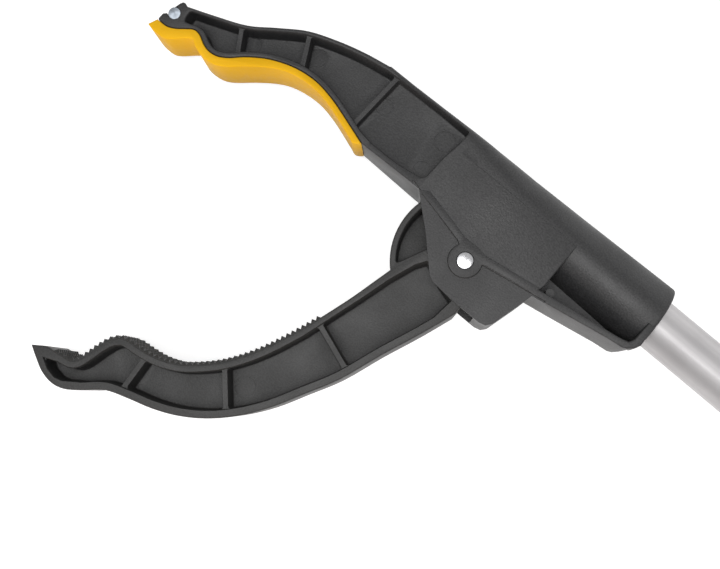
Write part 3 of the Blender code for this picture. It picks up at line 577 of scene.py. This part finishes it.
def cells(region, ribs, thickness):
    """The region divided by ribs, each given by two points, into outlines with rounded corners."""
    rest = region
    found = []
    for top, bottom in ribs:
        direction = Vector(bottom) - Vector(top)
        across = Vector((direction.y, -direction.x)).normalized() * thickness / 2
        found.append(clipped(rest, Vector(top) + across, -direction))
        rest = clipped(rest, Vector(top) - across, direction)
    found.append(rest)
    return found


def ejector_ring(centre, radius, side, floor):
    """A cutter for the faint circle that an ejector pin leaves in a pocket's floor."""
    near, far = MID + side * (floor - 0.16), MID + side * (floor + 0.8)
    ring = lathe("ring", centre, [(near, radius), (far, radius + 0.2)])
    return cut(ring, lathe("ring_inside", centre, [(near - side, radius - 0.3), (far + side, radius - 0.5)]))


def make_head():
    root = [(-50.0, 6.0), (-30.0, 5.0), (-23.6, -0.5), (-23.6, -16.8)]
    outline = JAW_TIP + smooth(JAW_BACK, 5) + root + smooth(JAW_SEAT, 5)[::-1]
    head = plate("jaw_block", outline, -1.0, 2 * MID + 1.0, 0)
    width = [(x, half_width(x)) for x in (-140.0, -46.5, -26.0, 0.0)]
    envelope = [(x, -h) for x, h in width] + [(x, h) for x, h in width[::-1]]
    keep(head, stack("envelope", [[(x, y, MID + h) for x, h in envelope] for y in (-60.0, 40.0)]))
    round_edges(head)

    # Collar, cheeks and keel
    boss = arc(PIVOT, BOSS_R, 150, 385, 36)
    band = [(-24.6, -17.0), (-5.7, -21.2)] + boss + [(5.9, -21.7), (21.8, -18.8)]
    band += [(22.1, -16.4), (3.5, -19.4), (0.1, -18.9), (-4.7, -19.1), (-12.0, -17.4), (-21.8, -15.3)]
    low, high = MID - HALF_CHEEK, MID + HALF_CHEEK
    join(head,
         loft("collar_loft", COLLAR),
         plate("cheeks", CHEEK, low, high),
         plate("keel_web", [(21.0, -18.4), (54.0, -12.8), (54.0, -6.0), (21.0, -6.0)],
               MID - 1.3, MID + 1.3, 0),
         plate("keel", KEEL, MID - 11.9, MID + 11.9),
         lathe("keel_post", (25.6, -14.9), [(MID - 8.0, 1.3), (MID + 8.0, 1.3)], sides=24))

    corner = [(53.5, -14.2), (54.9, -12.4), (55.9, -10.4), (56.5, -8.8), (62.0, -8.8), (62.0, -18.0),
              (53.5, -18.0)]
    cut(head, plate("keel_corner", corner, -2.0, 2 * MID + 2.0, 0))

    # Pockets on both sides of the web, between the ribs
    ribs = [((-101.0, -14.2), (-97.0, -20.5)), ((-83.0, -2.2), (-78.8, -9.9)), ((-53.4, 3.7), (-54.0, -11.5))]
    marks = [(-96.9, -13.9, 2.5), (-78.3, -3.9, 3.1), (-51.0, -2.9, 2.8), (-29.2, 0.8, 3.4),
             (-29.0, -10.6, 2.8)]
    hollows = cells(pocket_region(), ribs, 1.5)
    for side in (-1, 1):
        cutters = [pocket(f"pocket_{side}_{i}", outline, side, lambda x: half_width(x) - RIB_DROP, edge=0.12,
                          sunk=True) for i, outline in enumerate(hollows[:-1])]
        cutters.append(pocket(f"pocket_{side}_deep", hollows[-1], side, lambda x: half_width(x) - RIB_DROP,
                              floor=HALF_DEEP_WEB, edge=0.12, sunk=True))
        cut(head, *cutters)
        cut(head, pocket(f"rim_{side}", pocket_region(), side, half_width, floor=HALF_JAW - RIB_DROP,
                         fillet=0.05))
        for x, y, radius in marks:
            floor = HALF_WEB if x < ribs[-1][0][0] else HALF_DEEP_WEB
            cut(head, ejector_ring((x, y), radius, side, floor))

    # Cheeks: the lower part stands back, and a raised band runs around the boss
    recess = [(-28.0, -15.7), (-5.3, -21.3)] + boss
    recess += [(5.8, -21.9), (21.9, -19.0), (26.0, -18.2), (26.0, -44.0), (-28.0, -44.0)]
    for side in (-1, 1):
        level = MID + side * (HALF_CHEEK - 0.7)
        rings = sorted([(level, -0.15), (level + side * 0.5, 0.0), (level + side * 2, 0.1)])
        cut(head, profiled(f"recess_{side}", recess, rings))
        surface = sorted((MID + side * (HALF_CHEEK - 1.0), MID + side * (HALF_CHEEK + 0.2)))
        join(head, plate(f"band_{side}", band, *surface, 0.2, 2))

    # Rooms for the moving jaw, the clevis and the tube, and holes for the pins
    room = arc(PIVOT, 23.2, 75, 205, 60)
    room += [(-27.0, -36.0), (-27.0, -42.0), (13.0, -42.0), (13.0, -30.0), (10.6, -24.5), (10.6, -8.0)]
    notch = arc((-121.1, -23.6), 2.08, -130, 130, 28) + [(-126.0, -21.8), (-126.0, -25.2)]
    cut(head,
        plate("jaw_room", room, MID - HALF_MOVING - 0.4, MID + HALF_MOVING + 0.4, 0),
        plate("clevis_room", [(-17.8, -15.0), (18.6, -15.0), (18.6, 5.5), (-17.8, 5.5)],
              MID - 6.5, MID + 6.5, 0),
        lathe("tube_bore", (0.0, MID), [(TUBE_FRONT - GAP, TUBE_R + GAP),
                                        (COLLAR_END + 2, TUBE_R + GAP)], "X"),
        lathe("shank_bore", (0.0, MID), [(15.0, 5.6), (TUBE_FRONT + 3, 5.6)], "X", 32),
        lathe("pivot_hole", PIVOT, [(-1.0, 2.68), (2 * MID + 1.0, 2.68)]),
        lathe("screw_hole", COLLAR_SCREW, [(-1.0, 1.9), (MID, 1.9)], sides=24),
        lathe("screw_recess", COLLAR_SCREW, [(-1.0, 3.1), (1.9, 3.1)], sides=40),
        plate("magnet_notch", notch, -1.0, 2 * MID + 1.0, 0))
    show(head, "head_housing_detailed", "frame", black, ["head_housing"])


def make_insert():
    seat = offset(smooth(JAW_SEAT, 5), -0.15)
    face = smooth(INSERT_FACE, 4)
    end = [(-51.2, -18.5), (-50.2, -18.6), (-49.2, -18.1)]
    outline = seat + end[::-1] + face[::-1]
    insert = plate("insert", outline, MID - HALF_JAW, MID + HALF_JAW, 0.35, 3)
    show(insert, "grip_insert_detailed", "frame", yellow, ["grip_insert"])


# ---------------------------------------------------------------- moving jaw

def make_moving_jaw():
    low, high = MID - HALF_MOVING, MID + HALF_MOVING
    face = smooth(JAW_FACE, 4)
    root_line = face[:4] + offset(face, -TOOTH_DEPTH)[6:-2]
    outside = smooth(JAW_OUTSIDE, 4)
    lobe = arc(PIVOT, LOBE_R, 228, 135, 40)
    hub = arc(PIVOT, 8.4, 60, -20, 14)
    outline = root_line + smooth(JAW_FACE_SMOOTH, 4) + lobe + hub + outside[::-1][:-1]
    jaw = plate("jaw", outline, low, high)

    inner = offset(smooth(JAW_FACE[1:-1], 4), -3.1)[4:]
    inner += [(-19.2, -63.6), (-16.5, -54.4), (-13.6, -43.5), (-10.6, -35.0), (-8.4, -31.6)]
    outer = offset(outside, 2.5)[20:]
    tip = [(-68.9, -131.9), (-71.4, -132.7), (-74.8, -132.2), (-77.0, -131.4), (-78.0, -130.6)]
    hollow = inner + [(-1.2, -34.8), (4.6, -36.4)] + outer[-3::-1] + tip
    lobe_hollow = arc(PIVOT, LOBE_R - 1.9, 222, 137, 30) + arc(PIVOT, 10.0, 137, 190, 10)
    ribs = [((-54.2, -111.5), (-53.4, -120.1)), ((-33.0, -97.4), (-25.0, -105.9)),
            ((-19.4, -68.1), (-7.2, -72.2))]
    outlines = cells(hollow, ribs, 1.6)
    for side in (-1, 1):
        level = MID + side * (HALF_MOVING - RIB_DROP)
        cut(jaw, *[pocket(f"hollow_{side}_{i}", outline, side, lambda x: HALF_MOVING - RIB_DROP, edge=0.12,
                          sunk=True) for i, outline in enumerate(outlines)],
            pocket(f"lobe_hollow_{side}", lobe_hollow, side, lambda x: HALF_MOVING))
        rings = sorted([(level, -0.1), (level + side * 2, 0.6)])
        cut(jaw, profiled(f"rim_{side}", thinned(hollow), rings))
        cut(jaw, ejector_ring((-26.3, -97.3), 3.4, side, HALF_WEB))
    cut(jaw, lathe("pivot_hole", PIVOT, [(low - 1, 2.9), (high + 1, 2.9)]))
    show(jaw, "moving_jaw_detailed", "jaw", jaw_black, ["moving_jaw"])


def evenly(path, step):
    """Points of the path at even distances, each with the direction to its left."""
    lengths = [0.0]
    for a, b in zip(path, path[1:]):
        lengths.append(lengths[-1] + math.dist(a, b))
    count = round(lengths[-1] / step)
    result = []
    for i in range(count + 1):
        want = lengths[-1] * i / count
        j = max(k for k, so_far in enumerate(lengths[:-1]) if so_far <= want)
        a, b = Vector(path[j]), Vector(path[j + 1])
        along = (b - a).normalized()
        result.append((a.lerp(b, (want - lengths[j]) / (b - a).length), Vector((-along.y, along.x))))
    return result


def make_teeth():
    """The pyramid teeth of the gripping face: a grid with its odd crossings of odd rows raised."""
    line = evenly(offset(smooth(JAW_FACE, 4), -TOOTH_DEPTH)[5:], TOOTH_PITCH / 2)
    last, across = len(line) - 1, 2 * TEETH_ACROSS
    half = TOOTH_PITCH / 4 * across
    shape = bmesh.new()
    top = []
    under = []
    for i, (point, out) in enumerate(line):
        row = []
        for j in range(across + 1):
            peak = i % 2 and j % 2 and i < last
            x, y = point + out * (TOOTH_DEPTH + TOOTH_PROUD if peak else 0.04)
            row.append(shape.verts.new((x, y, MID - half + TOOTH_PITCH / 2 * j)))
        top.append(row)
        x, y = point - out * 0.5
        under.append([shape.verts.new((x, y, MID - half)), shape.verts.new((x, y, MID + half))])
    for i in range(last):
        for j in range(across):
            a, b, c, d = top[i][j], top[i + 1][j], top[i + 1][j + 1], top[i][j + 1]
            for corners in ((a, b, d), (b, c, d)) if (i + j) % 2 else ((a, b, c), (a, c, d)):
                shape.faces.new(corners)
        shape.faces.new((under[i][0], under[i + 1][0], under[i + 1][1], under[i][1]))
        shape.faces.new((top[i][0], top[i + 1][0], under[i + 1][0], under[i][0]))
        shape.faces.new((top[i][across], top[i + 1][across], under[i + 1][1], under[i][1]))
    for i in (0, last):
        shape.faces.new(top[i] + under[i][::-1])
    show(solid("teeth", shape), "jaw_teeth", "jaw", jaw_black, sharp=15)


# ---------------------------------------------------------------- small parts

def make_pins():
    pivot = lathe("pivot", PIVOT, [(0.4, 2.3), (0.7, 2.6), (2 * MID - 0.45, 2.6), (2 * MID - 0.2, 2.45),
                                   (2 * MID - 0.1, 2.1)], sides=96)
    show(pivot, "pivot_pin_detailed", "frame", steel, ["pivot_pin"])
    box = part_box("tip_magnet")
    centre = ((box[0].x + box[1].x) / 2 / MM, (box[0].y + box[1].y) / 2 / MM)
    low, high = box[0].z / MM, box[1].z / MM
    magnet = lathe("magnet", centre, [(low, 1.8), (low + 0.2, 2.0), (high - 0.2, 2.0), (high - 0.05, 1.93),
                                      (high, 1.8)], sides=64)
    show(magnet, "tip_magnet_detailed", "frame", nickel, ["tip_magnet"])


def make_screws():
    """The screws' heads face down, and each has a cross recess. For each screw: its place, the heights of its
    head's two ends, the head's radius and the height of its tip."""
    places = {"collar_screw": (COLLAR_SCREW, 0.3, 1.6, 2.7, 6.4)}
    for i, place in enumerate(SCREWS):
        places[f"handle_screw_{i + 1}"] = (place, 0.9, 2.9, 3.0, 16.6)
    for node, (place, low, seat, radius, end) in places.items():
        profile = [(low, radius - 0.8), (low + 0.15, radius - 0.35), (low + 0.45, radius - 0.05),
                   (low + 0.6, radius), (seat, radius), (seat + 0.02, 1.5), (end - 0.5, 1.5), (end, 1.0)]
        screw = lathe(node, place, profile, sides=48)
        x, y = place
        for long, short in ((1.5, 0.35), (0.35, 1.5)):
            bar = [(x - long, y - short), (x + long, y - short), (x + long, y + short), (x - long, y + short)]
            cut(screw, plate("bar", bar, low - 2, low + 0.9, 0))
        show(screw, node + "_detailed", "frame", steel, [node])


def make_tube():
    wall = TUBE_R - 1.0
    shape = lathe("tube_shell", (0.0, MID), [(TUBE_FRONT, TUBE_R - 0.2), (TUBE_FRONT + 0.2, TUBE_R),
                                             (TUBE_REAR - 0.2, TUBE_R), (TUBE_REAR, TUBE_R - 0.2)], "X", 128)
    cut(shape, lathe("tube_inside", (0.0, MID), [(TUBE_FRONT - 5, wall), (TUBE_REAR + 5, wall)], "X", 96))
    show(shape, "tube_detailed", "frame", aluminium, ["tube"])


def make_spring():
    """The return spring, wound from the rod's washer to the rear guide. The real one shortens as the rod
    moves; this one is built at one length.
    """
    start, end = SPRING
    steps, around = 28 * SPRING_TURNS, 12
    along = Vector((1.0, 0.0, 0.0))
    circle = [math.tau * i / around for i in range(around)]
    rings = []
    for i in range(steps + 1):
        angle = math.tau * SPRING_TURNS * i / steps
        outwards = Vector((0.0, math.cos(angle), math.sin(angle)))
        middle = Vector((start + (end - start) * i / steps, 0.0, MID)) + SPRING_R * outwards
        rings.append([middle + SPRING_WIRE * (math.cos(a) * outwards + math.sin(a) * along) for a in circle])
    spring = stack("return_spring_detailed", rings)
    spring.data.materials.append(steel)
    spring.data.shade_smooth()
    bring_out(spring)
    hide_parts("return_spring")
    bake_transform(spring)


# ---------------------------------------------------------------- handle

def capsule(start, end, radius, steps=8):
    """The outline of a slot with round ends."""
    lean = math.degrees(math.atan2(end[1] - start[1], end[0] - start[0]))
    return arc(end, radius, lean - 90, lean + 90, steps) + arc(start, radius, lean + 90, lean + 270, steps)


def make_handle():
    outline = smooth(HANDLE_TOP, 5) + HANDLE_UNDER
    turns = [math.pi / 2 * i / 7 for i in range(8)]
    for side, node in ((-1, "handle_shell_right"), (1, "handle_shell_left")):
        rings = [(SPLIT, -0.4), (SPLIT + 0.4, 0.0)]
        rings += [(MID - HANDLE_ROUND * (1 - math.sin(a)), -HANDLE_ROUND * (1 - math.cos(a))) for a in turns]
        shell = profiled(node, outline, [(MID + side * height, grow) for height, grow in rings])
        room = plate("room", HANDLE_ROOM, HANDLE_WALL, 2 * MID - HANDLE_WALL, 0)
        cut(room, *[lathe("boss", place, [(0.0, 4.2), (2 * MID, 4.2)], sides=32) for place in SCREWS],
            lathe("hub_low", TRIGGER_PIVOT, [(0.0, 5.4), (8.7, 5.4)], sides=40),
            lathe("hub_high", TRIGGER_PIVOT, [(2 * MID - 8.7, 5.4), (2 * MID, 5.4)], sides=40))
        cut(shell, room,
            lathe("tube_bore", (0.0, MID), [(380.0, TUBE_R + GAP), (TUBE_REAR + 5, TUBE_R + GAP)], "X"),
            lathe("axle", TRIGGER_PIVOT, [(MID - 10.2, 2.8), (MID + 10.2, 2.8)], sides=32),
            lathe("tube_pin_hole", TUBE_PIN, [(MID - 10.7, 1.8), (MID + 10.7, 1.8)], sides=24),
            *[lathe("screw_hole", place, [(1.0, 1.8), (17.0, 1.8)], sides=24) for place in SCREWS])
        if side < 0:
            cut(shell, *[lathe("recess", place, [(-1.0, 4.0), (0.25, 3.5), (3.2, 3.4)], sides=48)
                         for place in SCREWS])
        # Grooves across the grip, down its slope
        reach = Vector((66.0, 14.0)).normalized() * 9.0
        for k in range(8):
            middle = Vector((503.2 + 0.95 * k, -57.5 - 4.4 * k))
            level = MID + side * MID
            rings = sorted([(level - side * 0.7, -0.45), (level + side * 0.4, 0.3)])
            cut(shell, profiled("groove", capsule(middle - reach, middle + reach, 0.9), rings))
        show(shell, node + "_detailed", "frame", black, [node])


def make_trigger():
    turn = Matrix.Rotation(math.radians(TRIGGER_LEAN), 2)

    def placed(points):
        return [tuple(Vector(TRIGGER_PIVOT) + turn @ Vector(p)) for p in points]

    blade = placed(smooth(TRIGGER_FRONT, 5) + smooth(TRIGGER_BACK, 5))
    if area(blade) < 0:
        blade = blade[::-1]
    trigger = plate("blade", blade, MID - HALF_TRIGGER, MID + HALF_TRIGGER, 2.0, 5)
    inside = [p for p in grown(blade, -3.6) if p[1] < TRIGGER_PIVOT[1] - 40.0]
    ribs = [placed(pair) for pair in ([(-8.0, -88.0), (6.0, -84.0)], [(-5.0, -72.0), (8.0, -71.0)],
                                      [(-5.0, -56.0), (8.0, -58.0)])]
    hollows = cells(inside, ribs, 1.4)
    for side in (-1, 1):
        cut(trigger, *[pocket(f"hollow_{side}_{i}", hollow, side, lambda x: HALF_TRIGGER, floor=3.0)
                       for i, hollow in enumerate(hollows)])
    arm = placed([(-5.3, -40.0), (5.3, -40.0), (5.3, -2.0), (-5.3, -2.0)])
    join(trigger, plate("arm", arm, MID - 3.0, MID + 3.0, 0.3),
         lathe("hub", TRIGGER_PIVOT, [(MID - 2.8, 6.4), (MID + 2.8, 6.4)]))
    slot = placed([(0.0, -TRIGGER_ARM + 0.6), (0.0, -TRIGGER_ARM - 2.2)])
    cut(trigger, plate("yoke_slot", capsule(*slot, 2.45), 0.0, 2 * MID, 0),
        lathe("axle", TRIGGER_PIVOT, [(0.0, 2.8), (2 * MID, 2.8)], sides=40))
    show(trigger, "trigger_detailed", "trigger", black, ["trigger"])


# ---------------------------------------------------------------- studio

def make_studio():
    shape = bmesh.new()
    bmesh.ops.create_grid(shape, x_segments=1, y_segments=1, size=9000.0)
    floor = solid("floor", shape)
    floor.location.z = -0.3 * MM
    look, tree, shader = new_material("floor_paper", (0.5, 0.5, 0.5), 0.95)
    shader.inputs["Emission Color"].default_value = (1.0, 1.0, 1.0, 1.0)
    shader.inputs["Emission Strength"].default_value = 0.74
    shader.inputs["Specular IOR Level"].default_value = 0.0
    tree.links.new(mixed_colour(tree, noise(tree, 30.0, 3.0), (0.48, 0.48, 0.48), (0.52, 0.52, 0.52)),
                   shader.inputs["Base Color"])
    floor.data.materials.append(look)
    floor.visible_diffuse = False
    bring_out(floor)

    # The surroundings are brightest overhead
    world = bpy.data.worlds.new("studio")
    bpy.context.scene.world = world
    world.use_nodes = True
    tree = world.node_tree
    place = add(tree, "ShaderNodeTexCoord")
    facing = add(tree, "ShaderNodeVectorMath", operation="DOT_PRODUCT")
    facing.inputs[1].default_value = Vector((0.15, -0.1, 0.98)).normalized()
    tree.links.new(place.outputs["Generated"], facing.inputs[0])
    ramp = add(tree, "ShaderNodeMapRange", From_Min=-0.6, From_Max=1.0, To_Min=0.04, To_Max=0.56)
    tree.links.new(facing.outputs["Value"], ramp.inputs["Value"])
    background = tree.nodes["Background"]
    background.inputs["Color"].default_value = (1.0, 1.0, 1.0, 1.0)
    tree.links.new(ramp.outputs["Result"], background.inputs["Strength"])

    # The low light fills the undersides without a glint, and the rim light is only a sheen on the tube's top
    lights = {"key": ((0.0, -150.0, 850.0), 450.0, 3.7, (1.0, 1.0, 1.0)),
              "low": ((250.0, -800.0, 130.0), 400.0, 6.4, (1.0, 0.91, 0.83)),
              "rim": ((180.0, 700.0, 260.0), 500.0, 1.2, (1.0, 1.0, 1.0))}
    for name, (place, size, power, colour) in lights.items():
        data = bpy.data.lights.new(name, "AREA")
        data.size = size * MM
        data.energy = power
        data.color = colour
        light = bpy.data.objects.new(name, data)
        light.location = Vector(place) * MM
        aim = Vector((0.0, -40.0, MID)) * MM - light.location
        light.rotation_euler = aim.to_track_quat("-Z", "Y").to_euler()
        light.visible_glossy = name != "low"
        light.visible_diffuse = name != "rim"
        bpy.context.scene.collection.objects.link(light)

    data = bpy.data.cameras.new("camera")
    data.sensor_width = 36.0
    data.lens = 49.7
    data.clip_start = 0.01
    camera = bpy.data.objects.new("camera", data)
    camera.location = Vector((13.554, -65.541, 320.858)) * MM
    camera.rotation_euler = [math.radians(a) for a in (6.287, 2.863, 41.065)]
    bpy.context.scene.collection.objects.link(camera)
    bpy.context.scene.camera = camera
    bpy.context.scene.view_settings.view_transform = "Standard"


make_studio()
make_head()
make_insert()
make_moving_jaw()
make_teeth()
make_pins()
make_screws()
make_tube()
make_spring()
make_handle()
make_trigger()
looks = {"black_plastic": black, "trigger_plastic": black, "steel": steel, "aluminium": aluminium,
         "pale_plastic": acetal}
slots = {part["node"]: part["material_slot"] for part in frame["record"]["subparts"]}
for node, thing in frame["nodes"].items():
    if slots[node] in looks:
        thing.data.materials.clear()
        thing.data.materials.append(looks[slots[node]])
bpy.data.collections.remove(tools)
